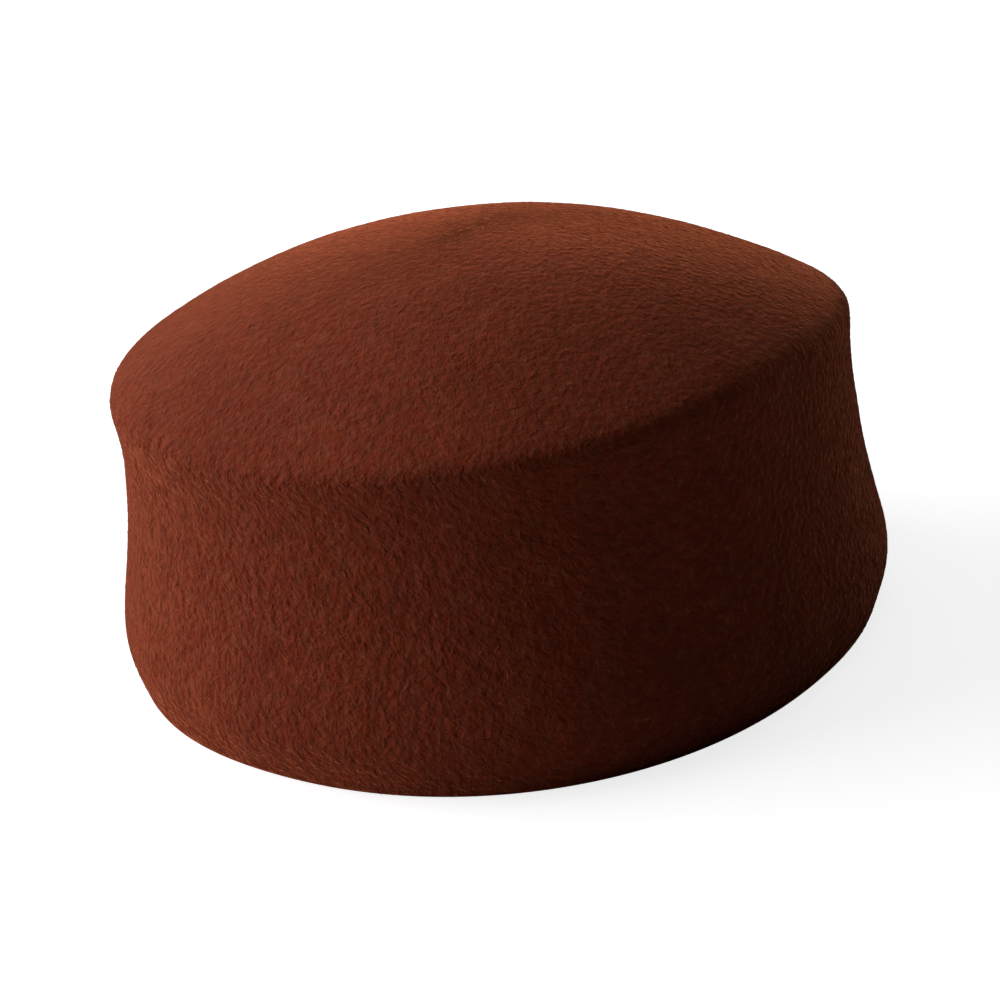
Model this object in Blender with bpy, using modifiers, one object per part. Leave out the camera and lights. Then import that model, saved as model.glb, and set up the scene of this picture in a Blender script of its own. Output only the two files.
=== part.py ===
"""A pillbox hat of one piece of blocked felt, standing on its rim as on a table.

Metres, +Z up. The rim stands on Z = 0, the origin is the middle of the rim's
underside, and the front of the hat faces -Y. Left and right are those of someone
who looks at the front, so the right side is at +X.
"""

import math
from typing import NamedTuple

import bmesh
import bpy
import numpy as np

# Size of the hat
HAT_LENGTH = 0.184         # front to back at the rim, outside
HAT_WIDTH = 0.1755         # side to side at the rim, outside
SHOULDER_HEIGHT = 0.0748   # rim to the shoulder, on the average
DOME_RISE = 0.0265         # shoulder to the top of the tip, on the average
FELT_THICKNESS = 0.0025
SHOULDER_ROUND = 0.0038    # how far along the felt the shoulder's corner is softened

# Form of the plan and of the dome
PLAN_POWER = 2.17          # 2 is an ellipse, more is squarer
DOME_POWER = 2.16          # 2 is a parabola, more is fuller at the shoulder

# How the felt is cut and meshed
CUT_ALLOWANCE = 0.005      # felt left below the rim until the rim is trimmed
SIDES = 72                 # points round the hat
WALL_ROWS = 14
SHOULDER_ROWS = 9
DOME_ROWS = 11
SHOULDER_BAND = 0.009      # closer rows run this far to each side of the shoulder's corner
FINE_POINTS = 400          # even points along a section while its corner is softened

FELT_COLOR = (0.17, 0.034, 0.018, 1.0)
FELT_ROUGHNESS = 0.95


class WallRow(NamedTuple):
    """One height of the side wall, evenly spaced from the rim to the shoulder."""

    name: str
    out: float     # distance from the axis, as a share of the rim's


class Section(NamedTuple):
    """The felt in one of the even directions round the hat, from +X and on through +Y."""

    name: str
    height: float  # shoulder's height, as a share of SHOULDER_HEIGHT
    out: float     # shoulder's distance from the axis, as a share of the average
    round: float   # softness of the corner, as a share of SHOULDER_ROUND
    dome: float    # fullness of the dome, as a share of DOME_POWER


WALL = (
    WallRow("rim, turned in", 1.0),
    WallRow("flare", 1.045),
    WallRow("above the flare", 1.02),
    WallRow("middle", 0.992),
    WallRow("upper wall", 0.977),
    WallRow("waist", 0.965),
    WallRow("shoulder", 0.983),
)

SECTIONS = (
    Section("right side", 1.045, 0.98, 0.6, 1.05),
    Section("right of the back", 0.995, 0.988, 0.4, 0.92),
    Section("back", 0.985, 0.995, 0.8, 1.0),
    Section("left of the back", 1.0, 1.0, 1.0, 1.0),
    Section("left side", 1.025, 1.01, 1.6, 1.08),
    Section("left of the front", 1.01, 1.02, 1.4, 1.05),
    Section("front", 0.965, 1.01, 0.4, 1.0),
    Section("right of the front", 1.005, 1.0, 0.4, 1.0),
)


def smooth_between(before, start, end, after, share):
    """Curve from start to end that runs on smoothly into the values on both sides."""
    return 0.5 * (
        2 * start
        + (end - before) * share
        + (2 * before - 5 * start + 4 * end - after) * share ** 2
        + (3 * start - before - 3 * end + after) * share ** 3
    )


def around(column, direction):
    """A column of SECTIONS in any direction, smooth all the way round."""
    place = direction / math.tau * len(SECTIONS)
    first = math.floor(place)
    near = [getattr(SECTIONS[(first + step) % len(SECTIONS)], column) for step in (-1, 0, 1, 2)]
    return smooth_between(*near, place - first)


def wall_out(height_share, shoulder_share):
    """Distance of the wall from the axis, as a share of the rim's, at a share of the wall's height.

    Below the rim the curve runs on, because the felt does so until it is trimmed.
    """
    outs = [row.out for row in WALL]
    outs[-1] *= shoulder_share
    outs = [2 * outs[0] - outs[1], *outs, 2 * outs[-1] - outs[-2]]
    place = height_share * (len(WALL) - 1)
    first = min(max(math.floor(place), 0), len(WALL) - 2)
    return smooth_between(*outs[first:first + 4], place - first)


def rim_reach(direction):
    """Distance from the axis to the rim's outer edge: the plan is a slightly squared ellipse."""
    across = abs(math.cos(direction)) / (HAT_WIDTH / 2)
    along = abs(math.sin(direction)) / (HAT_LENGTH / 2)
    return (across ** PLAN_POWER + along ** PLAN_POWER) ** (-1 / PLAN_POWER)


def at_even_steps(points, count):
    """The same line as count points with even steps along it, and each point's distance."""
    steps = np.hypot(*np.diff(points, axis=0).T)
    distance = np.concatenate([[0.0], np.cumsum(steps)])
    even = np.linspace(0.0, distance[-1], count)
    return np.stack([np.interp(even, distance, column) for column in points.T], axis=1), even


def soften(points, step, reach):
    """Round the corner of a section: each point becomes the bell-weighted mean of those near it.

    Past the tip the section goes on as its mirror image, and past its lower end as itself
    turned half round about that end.
    """
    near = min(math.ceil(4 * reach / step), len(points) - 2)
    lower = 2 * points[0] - points[near:0:-1]
    beyond_tip = points[-2:-near - 2:-1] * (-1, 1)
    longer = np.concatenate([lower, points, beyond_tip])
    bell = np.exp(-0.5 * (np.arange(-near, near + 1) * step / reach) ** 2)
    bell /= bell.sum()
    return np.stack([np.convolve(column, bell, mode="valid") for column in longer.T], axis=1)


def felt_section(direction):
    """Outer face of the felt in one direction, as rows (out, up) from its lower end to the tip."""
    rim = rim_reach(direction)
    height = SHOULDER_HEIGHT * around("height", direction)
    tip = SHOULDER_HEIGHT + DOME_RISE
    shoulder_share = around("out", direction)
    wall = [
        (rim * wall_out(up / height, shoulder_share), up)
        for up in np.linspace(-CUT_ALLOWANCE, height, FINE_POINTS // 2)
    ]
    corner = wall[-1][0]
    power = DOME_POWER * around("dome", direction)
    dome = [
        (corner * share, height + (tip - height) * (1 - share ** power))
        for share in np.linspace(1.0, 0.0, FINE_POINTS // 2)[1:]
    ]
    wall_length = np.hypot(*np.diff(np.array(wall), axis=0).T).sum()
    points, distance = at_even_steps(np.array(wall + dome), FINE_POINTS)
    points = soften(points, distance[1], SHOULDER_ROUND * around("round", direction))

    rows = np.concatenate([
        np.linspace(0.0, wall_length - SHOULDER_BAND, WALL_ROWS)[:-1],
        np.linspace(wall_length - SHOULDER_BAND, wall_length + SHOULDER_BAND, SHOULDER_ROWS)[:-1],
        np.linspace(wall_length + SHOULDER_BAND, distance[-1], DOME_ROWS),
    ])
    return [tuple(np.interp(row, distance, column) for column in points.T) for row in rows]


def place_ring(ring, sections, row):
    """Move each point of a ring to its own section's row, in the direction where it lies."""
    for vert in ring:
        direction = math.atan2(vert.co.y, vert.co.x)
        side = round(direction / math.tau * SIDES) % SIDES
        out, up = sections[side][row]
        angle = side / SIDES * math.tau
        vert.co = (out * math.cos(angle), out * math.sin(angle), up)


def felt_shell(name):
    """Draw the felt's outer face up from its lower end, ring by ring, and close it at the tip."""
    sections = [felt_section(side / SIDES * math.tau) for side in range(SIDES)]
    shell = bmesh.new()
    ring = bmesh.ops.create_circle(shell, segments=SIDES, radius=HAT_WIDTH / 2)["verts"]
    edges = shell.edges[:]
    place_ring(ring, sections, 0)
    for row in range(1, len(sections[0])):
        drawn = bmesh.ops.extrude_edge_only(shell, edges=edges)["geom"]
        ring = [part for part in drawn if isinstance(part, bmesh.types.BMVert)]
        edges = [part for part in drawn if isinstance(part, bmesh.types.BMEdge)]
        place_ring(ring, sections, row)
    bmesh.ops.pointmerge(shell, verts=ring, merge_co=(0.0, 0.0, SHOULDER_HEIGHT + DOME_RISE))
    bmesh.ops.recalc_face_normals(shell, faces=shell.faces)
    mesh = bpy.data.meshes.new(name)
    shell.to_mesh(mesh)
    shell.free()
    mesh.shade_smooth()
    return bpy.data.objects.new(name, mesh)


def thicken(felt):
    """Give the felt its thickness, inwards from the outer face."""
    wall = felt.modifiers.new("felt wall", "SOLIDIFY")
    wall.thickness = FELT_THICKNESS
    wall.offset = -1.0
    wall.use_even_offset = True
    wall.use_quality_normals = True


def trim_block():
    """Block that takes the felt away below the rim."""
    block = bmesh.new()
    bmesh.ops.create_cube(block, size=1.0)
    across = 1.5 * max(HAT_LENGTH, HAT_WIDTH)
    deep = 4 * CUT_ALLOWANCE
    for vert in block.verts:
        vert.co.x *= across
        vert.co.y *= across
        vert.co.z = vert.co.z * deep - deep / 2
    mesh = bpy.data.meshes.new("trim_block")
    block.to_mesh(mesh)
    block.free()
    cutter = bpy.data.objects.new("trim_block", mesh)
    cutter.hide_render = True
    cutter.display_type = "WIRE"
    return cutter


def trim(felt, cutter):
    """Cut the rim flat, so that it stands on the table all round."""
    cut = felt.modifiers.new("rim cut", "BOOLEAN")
    cut.operation = "DIFFERENCE"
    cut.object = cutter


def felt_material():
    """Rust-brown fur felt."""
    felt = bpy.data.materials.new("felt")
    felt.use_nodes = True
    surface = felt.node_tree.nodes["Principled BSDF"]
    surface.inputs["Base Color"].default_value = FELT_COLOR
    surface.inputs["Roughness"].default_value = FELT_ROUGHNESS
    surface.inputs["Metallic"].default_value = 0.0
    return felt


def new_collection(name):
    """Add a collection to the scene."""
    collection = bpy.data.collections.new(name)
    bpy.context.scene.collection.children.link(collection)
    return collection


def main():
    """Clear the scene and build the hat."""
    for old in list(bpy.data.objects):
        bpy.data.objects.remove(old)
    hat = new_collection("pillbox_hat")
    cutters = new_collection("cutters")

    felt_body = felt_shell("felt_body")
    felt_body.data.materials.append(felt_material())
    hat.objects.link(felt_body)
    cutter = trim_block()
    cutters.objects.link(cutter)
    thicken(felt_body)
    trim(felt_body, cutter)


main()
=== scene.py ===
"""The looks of a pillbox hat, blocked from one piece of rust-brown fur felt.

Metres, +Z up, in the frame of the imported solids: the rim stands on Z = 0, the
origin is the middle of the rim's underside, and the front of the hat faces -Y.
"""

import logging
import math
from collections.abc import Mapping, Sequence
from dataclasses import dataclass
from enum import Enum

import bpy
import numpy as np
from mathutils import Matrix, Vector, noise


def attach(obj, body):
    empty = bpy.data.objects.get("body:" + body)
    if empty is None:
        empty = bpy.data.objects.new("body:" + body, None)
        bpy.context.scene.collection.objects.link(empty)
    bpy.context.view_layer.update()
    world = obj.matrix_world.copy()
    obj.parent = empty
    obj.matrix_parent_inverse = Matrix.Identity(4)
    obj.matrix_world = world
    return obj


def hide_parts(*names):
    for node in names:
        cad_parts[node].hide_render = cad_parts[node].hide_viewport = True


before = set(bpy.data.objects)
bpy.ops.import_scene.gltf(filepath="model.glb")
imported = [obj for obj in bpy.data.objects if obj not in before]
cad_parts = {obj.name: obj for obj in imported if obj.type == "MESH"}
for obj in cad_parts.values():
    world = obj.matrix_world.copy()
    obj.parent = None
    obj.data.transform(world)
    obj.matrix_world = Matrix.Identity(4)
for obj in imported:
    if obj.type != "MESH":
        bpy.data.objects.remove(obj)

SOLID = "felt_body"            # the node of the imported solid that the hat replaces
BODY = "root"                  # the only body, since nothing on the hat moves
PICTURE = 1000                 # pixels along each side of the photograph's frame
WALL_UP = 0.35                 # felt whose face points up less than this is side wall
DOME_UP = 0.75                 # and felt whose face points up more than this is dome
TINY = 1e-9                    # keeps a length that is divided by above nought

Colour = tuple[float, float, float]
Number = "Value | float"


class Value:
    """A number that varies over a surface: a socket whose arithmetic adds Math nodes."""

    def __init__(self, shader: "Shader", socket: bpy.types.NodeSocket) -> None:
        """Wrap an output socket of one of the shader's nodes."""
        self.shader = shader
        self.socket = socket

    def math(self, operation: str, *terms: Number) -> "Value":
        """The result of a new Math node that works on the terms."""
        node = self.shader.node("ShaderNodeMath", {"operation": operation}, dict(enumerate(terms)))
        return Value(self.shader, node.outputs[0])

    def __add__(self, other: Number) -> "Value":
        """Sum of this and other."""
        return self.math("ADD", self, other)

    def __radd__(self, other: float) -> "Value":
        """Sum of other and this."""
        return self.math("ADD", other, self)

    def __sub__(self, other: Number) -> "Value":
        """This less other."""
        return self.math("SUBTRACT", self, other)

    def __rsub__(self, other: float) -> "Value":
        """Other less this."""
        return self.math("SUBTRACT", other, self)

    def __mul__(self, other: Number) -> "Value":
        """Product of this and other."""
        return self.math("MULTIPLY", self, other)

    def __rmul__(self, other: float) -> "Value":
        """Product of other and this."""
        return self.math("MULTIPLY", other, self)

    def __truediv__(self, other: Number) -> "Value":
        """This over other."""
        return self.math("DIVIDE", self, other)

    def __pow__(self, other: Number) -> "Value":
        """This to the power of other."""
        return self.math("POWER", self, other)


class Shader:
    """The node tree of one material, with its Principled BSDF."""

    def __init__(self, name: str) -> None:
        """Make a material.

        Args:
            name: the material's name.
        """
        self.material = bpy.data.materials.new(name)
        self.material.use_nodes = True
        self.tree = self.material.node_tree
        self.surface = self.tree.nodes["Principled BSDF"]

    def node(
        self, kind: str, settings: Mapping[str, object], sockets: Mapping[str | int, object]
    ) -> bpy.types.Node:
        """Add any node.

        Args:
            kind: the node's type.
            settings: its own settings, which are set first.
            sockets: what goes into its inputs, by name or place: a value, a socket or a Value.

        Returns:
            The new node.
        """
        node = self.tree.nodes.new(kind)
        for name, setting in settings.items():
            setattr(node, name, setting)
        for place, given in sockets.items():
            self.feed(node.inputs[place], given)
        return node

    def feed(self, socket: bpy.types.NodeSocket, given: object) -> None:
        """Give an input its value or its link.

        Args:
            socket: the input.
            given: a plain value, an output socket or a Value.
        """
        if isinstance(given, Value):
            given = given.socket
        if isinstance(given, bpy.types.NodeSocket):
            self.tree.links.new(given, socket)
        else:
            socket.default_value = given

    def value(self, node: bpy.types.Node, output: str | int = 0) -> Value:
        """An output of a node as a Value."""
        return Value(self, node.outputs[output])

    def place(self) -> bpy.types.NodeSocket:
        """Where each point of the piece lies in the hat's frame."""
        return self.node("ShaderNodeTexCoord", {}, {}).outputs["Object"]

    def parts(self, vector: object) -> list[Value]:
        """The X, Y and Z of a vector."""
        split = self.node("ShaderNodeSeparateXYZ", {}, {0: vector})
        return [self.value(split, axis) for axis in range(3)]

    def vector(self, *parts: Number) -> bpy.types.NodeSocket:
        """The vector with these parts."""
        return self.node("ShaderNodeCombineXYZ", {}, dict(enumerate(parts))).outputs[0]

    def noise(self, place: object, size: float, detail: float = 2.0, curl: float = 0.0) -> Value:
        """Soft noise at both sides of nought, mostly between -0.2 and 0.2.

        Args:
            place: the coordinates that it is read at.
            size: the size of a feature, in the coordinates' unit.
            detail: how many finer layers it has.
            curl: how far it is warped.

        Returns:
            The noise.
        """
        sockets = {"Vector": place, "Scale": 1.0 / size, "Detail": detail, "Distortion": curl}
        return self.value(self.node("ShaderNodeTexNoise", {}, sockets), "Fac") - 0.5

    def dome(self) -> Value:
        """Which part of the hat a point belongs to, by the way its face points.

        Returns:
            0 on the side wall and 1 on the dome, with a soft change between them.
        """
        facing = self.node("ShaderNodeNewGeometry", {}, {}).outputs["Normal"]
        limits = {"Value": self.parts(facing)[2], "From Min": WALL_UP, "From Max": DOME_UP}
        return self.value(self.node("ShaderNodeMapRange", {}, limits))

    def mix_colour(
        self, share: Number, first: object, second: object, blend: str = "MIX"
    ) -> bpy.types.NodeSocket:
        """Mix two colours.

        Args:
            share: how much there is of the second one.
            first: a colour or a socket.
            second: a colour or a socket.
            blend: how the second one is laid over the first.

        Returns:
            The mixed colour's socket.
        """
        settings = {"data_type": "RGBA", "blend_type": blend}
        return self.node("ShaderNodeMix", settings, {0: share, 6: first, 7: second}).outputs[2]


@dataclass(frozen=True)
class Combed:
    """Soft unevenness drawn out along the nap: aslant down the wall and outwards over the dome."""

    width: float
    stretch: float               # how many times longer than wide it is
    bend: float                  # how far it is warped
    detail: float = 1.5
    swirl: float = 7.5           # radians that it turns round the hat for each metre of height
    dome_ring: float = 0.06      # radius at which it has its true width on the dome
    tip_radius: float = 0.0001   # added to the radius, which is nought at the tip

    def height(self, shader: Shader) -> Value:
        """Its height, mostly between -0.2 and 0.2.

        Args:
            shader: the shader that it is used in.

        Returns:
            The height.
        """
        place = shader.place()
        angle = shader.parts(place)[2] * self.swirl
        settings = {"rotation_type": "Z_AXIS"}
        turned = shader.node("ShaderNodeVectorRotate", settings, {"Vector": place, "Angle": angle})
        x, y, z = shader.parts(turned.outputs[0])
        radius = (x * x + y * y) ** 0.5 + self.tip_radius
        ring_x = x / radius * self.dome_ring
        ring_y = y / radius * self.dome_ring
        on_wall = shader.vector(x, y, z / self.stretch)
        on_dome = shader.vector(ring_x, ring_y, radius / self.stretch)
        wall_height = shader.noise(on_wall, self.width, self.detail, self.bend)
        dome_height = shader.noise(on_dome, self.width, self.detail, self.bend)
        dome = shader.dome()
        return wall_height * (1.0 - dome) + dome_height * dome


@dataclass(frozen=True)
class FeltDye:
    """The colours of the dyed fur: all felt of the hat shares them."""

    deep: Colour = (0.125, 0.0195, 0.0083)
    rust: Colour = (0.22, 0.0372, 0.0157)
    light: Colour = (0.36, 0.081, 0.039)
    wine: Colour = (1.0, 0.8, 0.7)          # the tints that the dye drifts between
    brown: Colour = (0.97, 1.17, 1.28)
    sheen_tint: Colour = (1.0, 0.25, 0.1)
    blush: float = 0.0025        # size of the drifts of tint
    blush_detail: float = 3.0
    blush_contrast: float = 2.5
    patch: float = 0.011         # size of the soft patches where the felt took the dye unevenly
    patch_depth: float = 0.35
    mottle: float = 0.0032       # size of the small mottles
    mottle_depth: float = 0.5
    roughness: float = 0.95
    sheen: float = 1.0
    sheen_roughness: float = 0.3
    specular: float = 0.08

    def dress(self, shader: Shader) -> None:
        """Set what is the same all over the felt.

        Args:
            shader: the felt's shader.
        """
        inputs = shader.surface.inputs
        inputs["Roughness"].default_value = self.roughness
        inputs["Specular IOR Level"].default_value = self.specular
        inputs["Sheen Weight"].default_value = self.sheen
        inputs["Sheen Roughness"].default_value = self.sheen_roughness
        inputs["Sheen Tint"].default_value = (*self.sheen_tint, 1.0)

    def shade(self, shader: Shader, tone: Value) -> bpy.types.NodeSocket:
        """The dye at a tone, deep at 0, rust at one half and light at 1, with its unevenness.

        Args:
            shader: the felt's shader.
            tone: the tone.

        Returns:
            The colour's socket.
        """
        place = shader.place()
        patches = shader.noise(place, self.patch)
        mottles = shader.noise(place, self.mottle)
        tone = tone + patches * self.patch_depth + mottles * self.mottle_depth
        low = shader.mix_colour(tone * 2.0, (*self.deep, 1.0), (*self.rust, 1.0))
        dyed = shader.mix_colour(tone * 2.0 - 1.0, low, (*self.light, 1.0))
        drift = shader.noise(place, self.blush, self.blush_detail)
        warmth = drift * self.blush_contrast + 0.5
        tint = shader.mix_colour(warmth, (*self.wine, 1.0), (*self.brown, 1.0))
        return shader.mix_colour(1.0, dyed, tint, "MULTIPLY")


@dataclass(frozen=True)
class Tufts:
    """The small tufts and pits in which the felt and its nap lie."""

    size: float = 0.0017
    detail: float = 1.6
    relief: float = 0.0009
    on_dome: float = 0.5         # relief on the dome, as a share of that on the wall

    def height(self, shader: Shader) -> Value:
        """Their height in metres, at both sides of nought.

        Args:
            shader: the shader that they are used in.

        Returns:
            The height.
        """
        flatter = shader.dome() * (1.0 - self.on_dome)
        relief = (1.0 - flatter) * self.relief
        return shader.noise(shader.place(), self.size, self.detail) * relief

    @staticmethod
    def raise_surface(shader: Shader, height: Value) -> None:
        """Let light fall on a surface as a relief of this height, in metres, would make it."""
        bump = shader.node("ShaderNodeBump", {}, {"Distance": 1.0, "Height": height})
        shader.feed(shader.surface.inputs["Normal"], bump.outputs["Normal"])


@dataclass(frozen=True)
class FeltSurface:
    """The matted face of the felt, under and between its nap."""

    dye: FeltDye
    tufts: Tufts
    fibres: Combed = Combed(width=0.0007, stretch=3.2, bend=1.3)
    fibre_painted_shade: float = 0.45     # how strongly the fibres' relief is painted into the tone as shade: darker in their hollows, lighter on their ridges
    relief: float = 0.0002       # height of the matted fibres
    grain: float = 0.0005        # size of the fine grain
    grain_detail: float = 1.0
    # how strongly the fine grain's relief is painted into the tone as shade: darker in its hollows,
    # lighter on its bumps
    grain_painted_shade: float = 0.15
    grain_relief: float = 0.4    # height of the grain, as a share of the fibres'
    tone: float = 0.42

    def material(self) -> bpy.types.Material:
        """Make the material.

        Returns:
            The felt's material.
        """
        shader = Shader("felt surface")
        fibres = self.fibres.height(shader)
        grain = shader.noise(shader.place(), self.grain, self.grain_detail)
        # The tone follows the same noise as the relief below: painted shade, darker in the hollows of
        # the fibres and grain and lighter on their ridges.
        tone = fibres * self.fibre_painted_shade + grain * self.grain_painted_shade + self.tone
        shader.feed(shader.surface.inputs["Base Color"], self.dye.shade(shader, tone))
        matted = (fibres + grain * self.grain_relief) * self.relief
        self.tufts.raise_surface(shader, matted + self.tufts.height(shader))
        self.dye.dress(shader)
        return shader.material


@dataclass(frozen=True)
class NapSurface:
    """The short hairs of the nap, each in its own tone."""

    dye: FeltDye
    tufts: Tufts
    tone: str = "nap_tone"       # the attribute that holds the tone

    def material(self) -> bpy.types.Material:
        """Make the material.

        Returns:
            The nap's material.
        """
        shader = Shader("felt nap")
        read = shader.node("ShaderNodeAttribute", {"attribute_name": self.tone}, {})
        tone = shader.value(read, "Fac")
        shader.feed(shader.surface.inputs["Base Color"], self.dye.shade(shader, tone))
        self.tufts.raise_surface(shader, self.tufts.height(shader))
        self.dye.dress(shader)
        return shader.material


def select_nothing() -> None:
    """Deselect every object."""
    bpy.ops.object.select_all(action="DESELECT")


def make_active(piece: bpy.types.Object) -> None:
    """Select one piece alone and make it the active one.

    Args:
        piece: the piece to work on.
    """
    select_nothing()
    piece.select_set(True)
    bpy.context.view_layer.objects.active = piece


def select_verts(piece: bpy.types.Object, chosen: np.ndarray) -> None:
    """Select some of a mesh's points, with the edges and faces between them.

    Args:
        piece: the piece, in object mode.
        chosen: one flag for each point.
    """
    mesh = piece.data
    mesh.vertices.foreach_set("select", chosen)
    ends = numbers(mesh.edges, "vertices", 2, np.int32)
    mesh.edges.foreach_set("select", chosen[ends].all(axis=1))
    whole = np.array([chosen[list(face.vertices)].all() for face in mesh.polygons])
    mesh.polygons.foreach_set("select", whole)


def numbers(
    items: bpy.types.bpy_prop_collection, name: str, width: int, kind: type = np.float32
) -> np.ndarray:
    """Read one property of a mesh's points, edges or faces.

    Args:
        items: the mesh's collection.
        name: the property's name.
        width: how many numbers it has.
        kind: the numbers' type.

    Returns:
        An array with a row for each item.
    """
    read = np.empty(len(items) * width, dtype=kind)
    items.foreach_get(name, read)
    return read.reshape(-1, width)


@dataclass
class FeltCap:
    """The cap itself: one wall of felt, with its dome, shoulder, side wall and cut rim."""

    merge: float = 0.00002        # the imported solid's loose corners are joined within this
    pair_angle: float = 60.0      # its triangles are paired up within this, in degrees
    close_rows: float = 0.0014    # rows of the solid this near the cut rim are taken out
    rim_softness: float = 0.0006  # the cut edge of the rim is rounded by this
    rim_steps: int = 3
    levels: int = 2
    unevenness: float = 0.00022   # soft hollows and swells left by blocking
    swell: float = 0.014          # size of one swell
    fade: float = 0.004           # they begin at half this height and are whole this much higher
    fade_steps: int = 10

    def build(self, finish: FeltSurface) -> bpy.types.Object:
        """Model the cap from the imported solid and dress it.

        Args:
            finish: the felt's finish.

        Returns:
            The finished cap.
        """
        cap = self.copy_solid()
        self.join_faces(cap)
        self.round_rim(cap)
        self.refine(cap)
        self.block(cap)
        cap.data.materials.clear()
        cap.data.materials.append(finish.material())
        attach(cap, BODY)
        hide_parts(SOLID)
        return cap

    @staticmethod
    def copy_solid() -> bpy.types.Object:
        """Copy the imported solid, which is left alone itself.

        Returns:
            The copy, with a mesh of its own.
        """
        cap = bpy.data.objects.new("felt_cap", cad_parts[SOLID].data.copy())
        bpy.context.scene.collection.objects.link(cap)
        make_active(cap)
        return cap

    def join_faces(self, cap: bpy.types.Object) -> None:
        """Join the copy's loose triangles, and pair them up again into four-sided faces.

        Args:
            cap: the copy.
        """
        angle = math.radians(self.pair_angle)
        bpy.ops.object.mode_set(mode="EDIT")
        bpy.ops.mesh.select_mode(type="VERT")
        bpy.ops.mesh.select_all(action="SELECT")
        bpy.ops.mesh.remove_doubles(threshold=self.merge)
        bpy.ops.mesh.tris_convert_to_quads(face_threshold=angle, shape_threshold=angle)
        bpy.ops.object.mode_set(mode="OBJECT")

    def round_rim(self, cap: bpy.types.Object) -> None:
        """Round both edges of the cut rim.

        Args:
            cap: the joined copy.
        """
        self.pick_rows(cap, self.merge, self.close_rows)
        bpy.ops.object.mode_set(mode="EDIT")
        bpy.ops.mesh.select_mode(type="EDGE")
        bpy.ops.mesh.dissolve_edges(use_verts=True)
        bpy.ops.object.mode_set(mode="OBJECT")
        heights = numbers(cap.data.vertices, "co", 3)[:, 2]
        select_verts(cap, heights < self.merge)
        bpy.ops.object.mode_set(mode="EDIT")
        bpy.ops.mesh.select_mode(type="FACE")
        bpy.ops.mesh.delete(type="FACE")
        bpy.ops.mesh.select_mode(type="EDGE")
        bpy.ops.mesh.select_non_manifold()
        bpy.ops.mesh.bridge_edge_loops()
        bpy.ops.mesh.region_to_loop()
        bpy.ops.mesh.bevel(offset=self.rim_softness, segments=self.rim_steps, profile=0.5)
        bpy.ops.object.mode_set(mode="OBJECT")

    @staticmethod
    def pick_rows(cap: bpy.types.Object, above: float, below: float) -> None:
        """Select the edges that run round the hat between two heights.

        Args:
            cap: the joined copy, in object mode.
            above: the height that they lie above.
            below: the height that they lie below.
        """
        heights = numbers(cap.data.vertices, "co", 3)[:, 2]
        ends = heights[numbers(cap.data.edges, "vertices", 2, np.int32)]
        cap.data.vertices.foreach_set("select", np.zeros(len(heights), dtype=bool))
        cap.data.polygons.foreach_set("select", np.zeros(len(cap.data.polygons), dtype=bool))
        cap.data.edges.foreach_set("select", ((ends > above) & (ends < below)).all(axis=1))

    def refine(self, cap: bpy.types.Object) -> None:
        """Smooth the facets into the felt's soft curves.

        Args:
            cap: the cap with its rounded rim.
        """
        finer = cap.modifiers.new("soft curves", "SUBSURF")
        finer.levels = self.levels
        finer.render_levels = self.levels
        bpy.ops.object.modifier_apply(modifier=finer.name)
        bpy.ops.object.shade_smooth()

    def block(self, cap: bpy.types.Object) -> None:
        """Give the felt the soft unevenness of a hat blocked by hand, and keep the rim flat.

        Args:
            cap: the smooth cap.
        """
        heights = numbers(cap.data.vertices, "co", 3)[:, 2]
        above_rim = cap.vertex_groups.new(name="above rim")
        share = np.clip(heights / self.fade - 0.5, 0.0, 1.0)
        for step in range(1, self.fade_steps + 1):
            members = np.flatnonzero(np.round(share * self.fade_steps) == step)
            above_rim.add(members.tolist(), step / self.fade_steps, "REPLACE")
        clouds = bpy.data.textures.new("blocking", "CLOUDS")
        clouds.noise_scale = self.swell
        clouds.noise_depth = 1
        uneven = cap.modifiers.new("blocking", "DISPLACE")
        uneven.texture = clouds
        uneven.texture_coords = "LOCAL"
        uneven.strength = self.unevenness
        uneven.vertex_group = above_rim.name
        bpy.ops.object.modifier_apply(modifier=uneven.name)
        cap.vertex_groups.clear()


class Curl(Enum):
    """How a hair of the nap is bent: its first end, its two bends and its second end.

    Each is a place along the hair and aside of it, as shares of the hair's length.
    """

    BOW = ((-0.48, 0.0), (-0.2, 0.15), (0.2, 0.15), (0.48, 0.0))
    BACK_BOW = ((-0.48, 0.0), (-0.2, -0.15), (0.2, -0.15), (0.48, 0.0))
    WAVE = ((-0.5, -0.05), (-0.18, 0.1), (0.18, -0.1), (0.5, 0.05))
    HOOK = ((-0.48, 0.0), (-0.12, -0.03), (0.22, 0.06), (0.34, 0.28))
    LOOP = ((-0.26, -0.18), (-0.28, 0.16), (0.14, 0.26), (0.3, -0.06))
    BACK_LOOP = ((-0.3, 0.2), (-0.26, -0.16), (0.16, -0.26), (0.28, 0.08))


@dataclass
class HairShape:
    """The mesh of one modelled hair, ready to be copied."""

    points: np.ndarray
    faces: list[tuple[int, ...]]
    bake_map: np.ndarray         # a place on the map for each corner of each face, in turn
    own_tone: np.ndarray         # for each point, the share of the hair's own tone over the felt's


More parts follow.
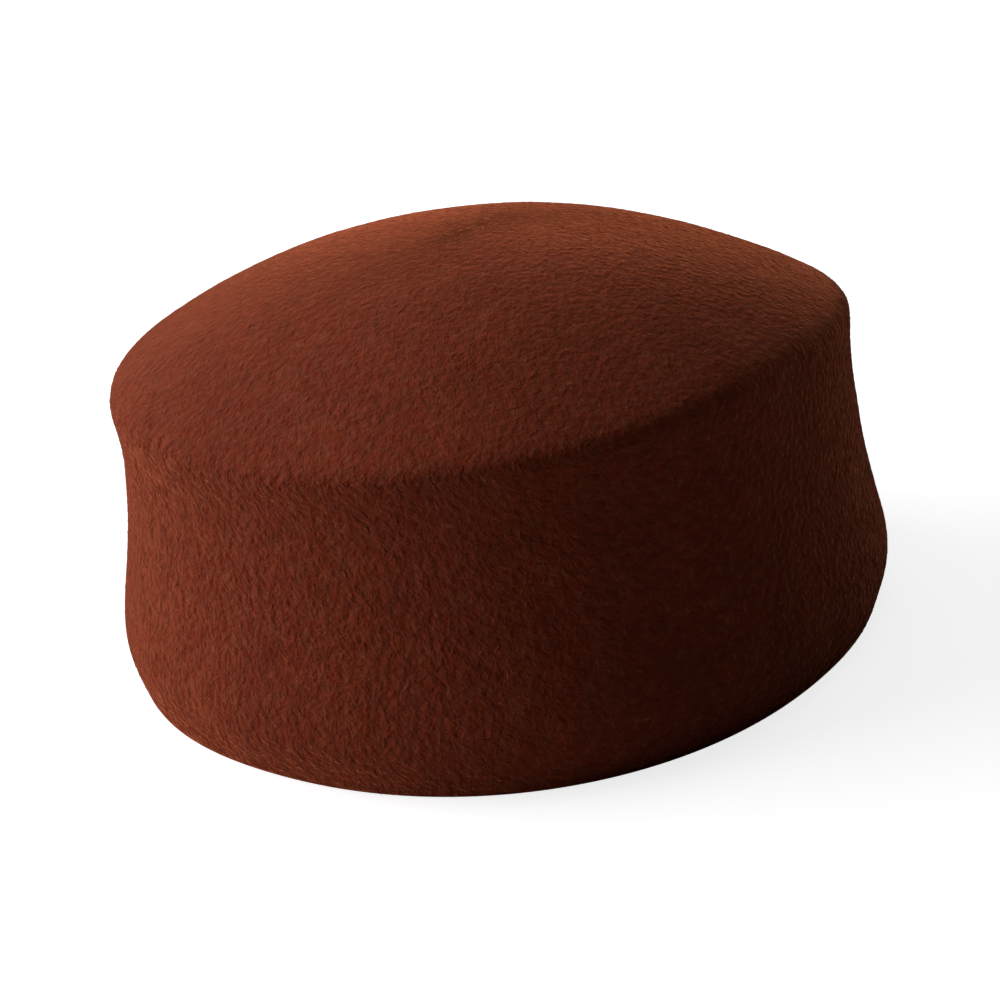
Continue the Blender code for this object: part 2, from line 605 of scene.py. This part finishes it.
@dataclass
class Hair:
    """One hair of the nap, modelled once for each curl: a flat three-sided spindle.

    It lies along X and is one unit long, with one ridge up, so its sizes are shares of its length.
    """

    curl: Curl
    sides: int = 3
    half_width: float = 0.155
    flatness: float = 0.2
    ends: tuple[float, float] = (-0.5, 0.5)
    end_drop: float = -0.022
    bends: tuple[float, float] = (-0.17, 0.17)
    bend_width: tuple[float, float] = (1.0, 0.9)
    bend_lift: float = 0.012
    edge_tone: float = 0.35      # a hair's edges have this share of its own tone
    near: float = 0.001          # places this near each other count as one
    map_angle: float = 50.0      # faces that meet at more than this lie apart on the map, in degrees
    map_gap: float = 0.02

    def build(self) -> HairShape:
        """Model the hair and read its mesh.

        Returns:
            The hair's shape.
        """
        hair = self.draw()
        first, second, third, fourth = self.curl.value
        for end, to in zip(self.ends, (first, fourth)):
            self.pick(hair, end)
            bpy.ops.object.mode_set(mode="EDIT")
            bpy.ops.mesh.merge(type="CENTER")
            bpy.ops.transform.translate(value=(to[0] - end, to[1], self.end_drop))
            bpy.ops.object.mode_set(mode="OBJECT")
        for bend, to, width in zip(self.bends, (second, third), self.bend_width):
            self.pick(hair, bend)
            bpy.ops.object.mode_set(mode="EDIT")
            bpy.ops.transform.resize(value=(1.0, width, 1.0), center_override=(bend, 0.0, 0.0))
            bpy.ops.transform.translate(value=(to[0] - bend, to[1], self.bend_lift))
            bpy.ops.object.mode_set(mode="OBJECT")
        self.flatten_map()
        points = numbers(hair.data.vertices, "co", 3).astype(np.float64)
        faces = [tuple(face.vertices) for face in hair.data.polygons]
        bake_map = numbers(hair.data.uv_layers.active.data, "uv", 2)
        on_ridge = points[:, 2] > self.bend_lift + self.near
        at_edge = (points[:, 2] > self.end_drop + self.near) & ~on_ridge
        bpy.data.objects.remove(hair)
        return HairShape(points, faces, bake_map, on_ridge + self.edge_tone * at_edge)

    def draw(self) -> bpy.types.Object:
        """Draw the straight hair, flattened and cut across where it will bend.

        Returns:
            The straight hair.
        """
        select_nothing()
        bpy.ops.mesh.primitive_cylinder_add(
            vertices=self.sides,
            radius=self.half_width,
            depth=self.ends[1] - self.ends[0],
            end_fill_type="NGON",
            rotation=(math.radians(90), 0.0, math.radians(90)),
        )
        bpy.ops.object.transform_apply(location=False, rotation=True, scale=True)
        bpy.ops.object.mode_set(mode="EDIT")
        bpy.ops.transform.resize(value=(1.0, 1.0, self.flatness), center_override=(0.0, 0.0, 0.0))
        for bend in self.bends:
            bpy.ops.mesh.select_all(action="SELECT")
            bpy.ops.mesh.bisect(plane_co=(bend, 0.0, 0.0), plane_no=(1.0, 0.0, 0.0))
        bpy.ops.object.mode_set(mode="OBJECT")
        return bpy.context.object

    def pick(self, hair: bpy.types.Object, along: float) -> None:
        """Select the ring of points at one place along the hair."""
        places = numbers(hair.data.vertices, "co", 3)
        select_verts(hair, np.abs(places[:, 0] - along) < self.near)

    def flatten_map(self) -> None:
        """Lay the faces of the active hair side by side on its map."""
        angle = math.radians(self.map_angle)
        bpy.ops.object.mode_set(mode="EDIT")
        bpy.ops.mesh.select_all(action="SELECT")
        bpy.ops.uv.smart_project(angle_limit=angle, island_margin=self.map_gap)
        bpy.ops.object.mode_set(mode="OBJECT")


@dataclass
class Nap:
    """The short nap of the felt's outer face, as joined meshes of hairs that lie on it."""

    hairs: int = 66000
    pieces: int = 5
    shortest: float = 0.0015
    longest: float = 0.0032
    wall_swirl: float = 44.0     # degrees that the nap leans from straight down, on the side wall
    dome_swirl: float = 12.0     # degrees that it leans from straight outwards, on the dome
    stray: float = 50.0          # spread of single hairs on the wall, in degrees
    dome_stray: float = 60.0     # and on the dome
    eddy: float = 72.0           # degrees that whole patches of the nap turn at the very most
    eddy_size: float = 0.007
    lean: float = 2.5            # spread of a hair's slope against the felt, in degrees
    sink: float = 0.00003        # a hair's middle lies this far in the felt
    clear_of_rim: float = 0.0012
    dome_from: float = 0.2       # the nap lies as on the wall where the felt points up less than this
    dome_span: float = 0.6       # and as on the dome where it points up by this much more
    dome_flatness: float = 0.5   # height of the dome's hairs, as a share of the wall's
    felt_tone: float = 0.41      # tone of a hair's ends, which sink into the felt
    tone: float = 0.47
    tone_spread: float = 0.08
    tone_limits: tuple[float, float] = (0.0, 0.9)
    light_share: float = 0.012   # share of pale hairs
    light_tone: float = 0.75
    bake_margin: float = 0.1     # share of a hair's cell on the map that is left free
    seed: int = 20

    def build(self, cap: bpy.types.Object, finish: NapSurface) -> list[bpy.types.Object]:
        """Model the nap on the cap.

        Args:
            cap: the finished cap.
            finish: the nap's finish.

        Returns:
            The pieces of the nap.
        """
        chance = np.random.default_rng(self.seed)
        shapes = [Hair(curl).build() for curl in Curl]
        roots, faces_out = self.scatter(cap, chance)
        material = finish.material()
        order = np.argsort(np.arctan2(roots[:, 1], roots[:, 0]))
        built = []
        for number, chosen in enumerate(np.array_split(order, self.pieces)):
            name = f"felt_nap_{number + 1}"
            piece = self.join(name, shapes, roots[chosen], faces_out[chosen], chance, finish.tone)
            piece.data.materials.append(material)
            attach(piece, BODY)
            built.append(piece)
        return built

    def scatter(
        self, cap: bpy.types.Object, chance: np.random.Generator
    ) -> tuple[np.ndarray, np.ndarray]:
        """Choose where the hairs grow, evenly over the outer face.

        Args:
            cap: the finished cap.
            chance: the source of chance.

        Returns:
            The roots and the directions that the felt faces there.
        """
        mesh = cap.data
        mesh.calc_loop_triangles()
        places = numbers(mesh.vertices, "co", 3).astype(np.float64)
        facing = numbers(mesh.vertices, "normal", 3).astype(np.float64)
        corners = numbers(mesh.loop_triangles, "vertices", 3, np.int32)
        centres = places[corners].mean(axis=1)
        across = np.cross(
            places[corners[:, 1]] - places[corners[:, 0]],
            places[corners[:, 2]] - places[corners[:, 0]],
        )
        area = np.linalg.norm(across, axis=1)
        middle = np.array([0.0, 0.0, 0.5 * places[:, 2].max()])
        outer = (across * (centres - middle)).sum(axis=1) > 0
        outer &= centres[:, 2] > self.clear_of_rim
        weight = np.where(outer, area, 0.0)
        picked = chance.choice(len(corners), size=self.hairs, p=weight / weight.sum())
        first, second = chance.random((2, self.hairs, 1))
        beyond = first + second > 1
        first, second = np.where(beyond, 1 - first, first), np.where(beyond, 1 - second, second)
        shares = np.stack([1 - first - second, first, second], axis=1)
        roots = (places[corners[picked]] * shares).sum(axis=1)
        faces_out = (facing[corners[picked]] * shares).sum(axis=1)
        return roots, faces_out / np.linalg.norm(faces_out, axis=1, keepdims=True)

    def lie(
        self, roots: np.ndarray, faces_out: np.ndarray, chance: np.random.Generator
    ) -> np.ndarray:
        """Comb the hairs: down the wall and outwards on the dome, with a swirl, eddies and strays.

        Args:
            roots: where the hairs grow.
            faces_out: the directions that the felt faces there.
            chance: the source of chance.

        Returns:
            For each hair, the directions along it, aside of it and up from it.
        """
        count = len(roots)
        round_hat = np.stack([-roots[:, 1], roots[:, 0], np.zeros(count)], axis=1)
        round_hat /= np.linalg.norm(round_hat, axis=1, keepdims=True) + TINY
        down = np.cross(round_hat, faces_out)
        down /= np.linalg.norm(down, axis=1, keepdims=True)
        aside = np.cross(faces_out, down)
        dome = np.clip((faces_out[:, 2] - self.dome_from) / self.dome_span, 0.0, 1.0)
        eddies = np.array([noise.noise(Vector(root) / self.eddy_size) for root in roots])
        turn = self.wall_swirl * (1 - dome) + self.dome_swirl * dome
        stray = self.stray * (1 - dome) + self.dome_stray * dome
        turn += self.eddy * eddies + stray * chance.standard_normal(count)
        turn = np.radians(turn)[:, None]
        flat = np.cos(turn) * down + np.sin(turn) * aside
        slope = np.radians(self.lean * chance.standard_normal(count))[:, None]
        along = np.cos(slope) * flat + np.sin(slope) * faces_out
        side = np.cross(faces_out, flat)
        height = 1 - (1 - self.dome_flatness) * dome[:, None]
        return np.stack([along, side, np.cross(along, side) * height], axis=1)

    def join(
        self,
        name: str,
        shapes: Sequence[HairShape],
        roots: np.ndarray,
        faces_out: np.ndarray,
        chance: np.random.Generator,
        tone_name: str,
    ) -> bpy.types.Object:
        """Copy the hairs to their places, as one mesh.

        Args:
            name: the piece's name.
            shapes: the shape of each kind of hair.
            roots: where the hairs grow.
            faces_out: the directions that the felt faces there.
            chance: the source of chance.
            tone_name: the name of the attribute that holds each hair's tone.

        Returns:
            The joined piece.
        """
        length = chance.uniform(self.shortest, self.longest, len(roots))
        basis = self.lie(roots, faces_out, chance) * length[:, None, None]
        kind = chance.integers(len(shapes), size=len(roots))
        tone = self.tone + self.tone_spread * chance.standard_normal(len(roots))
        tone = np.clip(tone, *self.tone_limits)
        tone[chance.random(len(roots)) < self.light_share] = self.light_tone
        middles = (roots - self.sink * faces_out)[:, None]
        across = math.ceil(math.sqrt(len(roots)))
        points, faces, tones, bake_map = [], [], [], []
        used_points = used_cells = 0
        for number, shape in enumerate(shapes):
            mine = kind == number
            placed = middles[mine] + shape.points @ basis[mine]
            clear_of_floor = placed[:, :, 2].min(axis=1) > 0
            placed = placed[clear_of_floor]
            copies = np.arange(len(placed))
            points.append(placed.reshape(-1, 3))
            over_felt = tone[mine][clear_of_floor, None] - self.felt_tone
            tones.append((self.felt_tone + over_felt * shape.own_tone).ravel())
            bake_map.append(self.map_places(shape, used_cells + copies, across))
            starts = used_points + len(shape.points) * copies
            for start in starts.tolist():
                faces.extend(tuple(start + point for point in face) for face in shape.faces)
            used_points += len(shape.points) * len(placed)
            used_cells += len(placed)
        mesh = bpy.data.meshes.new(name)
        mesh.from_pydata(np.concatenate(points), [], faces)
        held = mesh.attributes.new(tone_name, "FLOAT", "POINT")
        held.data.foreach_set("value", np.concatenate(tones))
        layer = mesh.uv_layers.new(name="OFBake")
        layer.data.foreach_set("uv", np.concatenate(bake_map).astype(np.float32).ravel())
        piece = bpy.data.objects.new(name, mesh)
        bpy.context.scene.collection.objects.link(piece)
        return piece

    def map_places(self, shape: HairShape, cells: np.ndarray, across: int) -> np.ndarray:
        """Give each copy of a hair its own square cell on the map.

        Args:
            shape: the hair's shape.
            cells: the number of each copy's cell.
            across: how many cells lie across the map.

        Returns:
            A place on the map for each corner of each copy's faces.
        """
        corner = np.stack([cells % across, cells // across], axis=1)[:, None]
        inside = self.bake_margin / 2 + (1 - self.bake_margin) * shape.bake_map
        return ((corner + inside) / across).reshape(-1, 2)


@dataclass(frozen=True)
class PhotoCamera:
    """The camera at the photograph's angle to the hat."""

    round_from_front: float = 37.86   # degrees from the hat's front towards its right side
    elevation: float = 20.5           # degrees above the floor
    roll: float = 6.0                 # degrees that the picture's right side is raised
    distance: float = 0.552
    aim_height: float = 0.0442
    aim_pixel: tuple[float, float] = (495.9, 450.9)
    pixels_per_metre: float = 4054.5  # at the distance of the point that the camera aims at
    sensor: float = 36.0              # millimetres, as a lens is given

    def build(self) -> bpy.types.Object:
        """Make the camera and give it to the scene.

        Returns:
            The camera.
        """
        turn, rise, roll = map(math.radians, (self.round_from_front, self.elevation, self.roll))
        level = Vector((math.cos(turn), math.sin(turn), 0.0))
        inwards = Vector((-math.sin(turn), math.cos(turn), 0.0))
        back = Vector((0.0, 0.0, math.sin(rise))) - math.cos(rise) * inwards
        upward = back.cross(level)
        right = math.cos(roll) * level - math.sin(roll) * upward
        top = math.sin(roll) * level + math.cos(roll) * upward
        lens = bpy.data.cameras.new("photo camera")
        lens.sensor_width = self.sensor
        lens.lens = self.pixels_per_metre * self.distance / PICTURE * self.sensor
        lens.shift_x = 0.5 - self.aim_pixel[0] / PICTURE
        lens.shift_y = self.aim_pixel[1] / PICTURE - 0.5
        camera = bpy.data.objects.new("photo camera", lens)
        stand = Vector((0.0, 0.0, self.aim_height)) + back * self.distance
        turned = Matrix((right, top, back)).transposed().to_4x4()
        camera.matrix_world = Matrix.Translation(stand) @ turned
        bpy.context.scene.collection.objects.link(camera)
        bpy.context.scene.camera = camera
        return camera


@dataclass(frozen=True)
class SoftLight:
    """A large soft light that shines at the hat."""

    name: str
    towards: tuple[float, float, float]  # from the hat: right, away from the camera, up
    size: float
    power: float                         # watts
    colour: Colour = (1.0, 1.0, 1.0)
    distance: float = 1.3

    def build(self, camera: PhotoCamera) -> bpy.types.Object:
        """Make the light, placed from where the camera stands.

        Args:
            camera: the camera's settings.

        Returns:
            The light.
        """
        turn = Matrix.Rotation(math.radians(camera.round_from_front), 4, "Z")
        direction = (turn @ Vector(self.towards)).normalized()
        lamp = bpy.data.lights.new(self.name, "AREA")
        lamp.shape = "DISK"
        lamp.size = self.size
        lamp.energy = self.power
        lamp.color = self.colour
        light = bpy.data.objects.new(self.name, lamp)
        light.location = Vector((0.0, 0.0, camera.aim_height)) + direction * self.distance
        light.rotation_mode = "QUATERNION"
        light.rotation_quaternion = direction.to_track_quat("Z", "Y")
        bpy.context.scene.collection.objects.link(light)
        return light


@dataclass(frozen=True)
class Studio:
    """The plain pale floor, the white backdrop and the soft lights."""

    floor_size: float = 12.0
    floor_colour: Colour = (0.6, 0.6, 0.6)
    near: float = 0.35           # up to this far from the hat's middle the floor glows least
    far: float = 1.1             # and from here on it glows most, as the backdrop does
    near_glow: float = 0.8
    far_glow: float = 1.0
    key: SoftLight = SoftLight("key light", (-0.95, 0.255, 0.174), size=2.2, power=47.5)
    fill: SoftLight = SoftLight(
        "fill light", (0.7, 0.665, 0.26), size=0.9, power=2.3, colour=(0.85, 1.0, 0.95)
    )
    top: SoftLight = SoftLight(
        "top light", (0.0, 0.342, 0.94), size=1.6, power=3.5, colour=(0.9, 1.0, 0.93)
    )

    def build(self, camera: PhotoCamera) -> None:
        """Make the floor, the backdrop and the lights.

        Args:
            camera: the camera's settings.
        """
        self.floor()
        self.backdrop()
        for light in (self.key, self.fill, self.top):
            light.build(camera)
        bpy.context.scene.view_settings.view_transform = "Standard"

    def floor(self) -> bpy.types.Object:
        """Lay the floor, whose own glow only the camera sees.

        Returns:
            The floor.
        """
        select_nothing()
        bpy.ops.mesh.primitive_plane_add(size=self.floor_size)
        floor = bpy.context.object
        floor.name = "studio_floor"
        shader = Shader("studio floor")
        inputs = shader.surface.inputs
        inputs["Base Color"].default_value = (*self.floor_colour, 1.0)
        inputs["Roughness"].default_value = 1.0
        inputs["Specular IOR Level"].default_value = 0.0
        inputs["Emission Strength"].default_value = 1.0
        from_hat = shader.node("ShaderNodeVectorMath", {"operation": "LENGTH"}, {0: shader.place()})
        limits = {
            "Value": shader.value(from_hat, "Value"),
            "From Min": self.near,
            "From Max": self.far,
            "To Min": self.near_glow,
            "To Max": self.far_glow,
        }
        glow = shader.value(shader.node("ShaderNodeMapRange", {}, limits))
        seen = shader.value(shader.node("ShaderNodeLightPath", {}, {}), "Is Camera Ray")
        shader.feed(inputs["Emission Color"], glow * seen)
        shader.material.cycles.emission_sampling = "NONE"
        floor.data.materials.append(shader.material)
        return floor

    @staticmethod
    def backdrop() -> None:
        """Make the backdrop, which is white to the camera and throws no light on the hat."""
        world = bpy.data.worlds.new("backdrop")
        world.use_nodes = True
        tree = world.node_tree
        white = tree.nodes["Background"].inputs
        white["Color"].default_value = (1.0, 1.0, 1.0, 1.0)
        path = tree.nodes.new("ShaderNodeLightPath")
        tree.links.new(path.outputs["Is Camera Ray"], white["Strength"])
        bpy.context.scene.world = world


def main() -> None:
    """Build and dress the hat, its camera and its studio."""
    logging.basicConfig(level=logging.INFO, format="%(message)s")
    log = logging.getLogger("pillbox hat")
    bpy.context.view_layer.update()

    dye, tufts = FeltDye(), Tufts()
    cap = FeltCap().build(FeltSurface(dye, tufts))
    log.info("%s: %d faces", cap.name, len(cap.data.polygons))
    for piece in Nap().build(cap, NapSurface(dye, tufts)):
        log.info("%s: %d faces", piece.name, len(piece.data.polygons))

    camera = PhotoCamera()
    camera.build()
    log.info("camera at the photograph's angle")
    Studio().build(camera)
    log.info("studio lit")


if __name__ == "__main__":
    main()
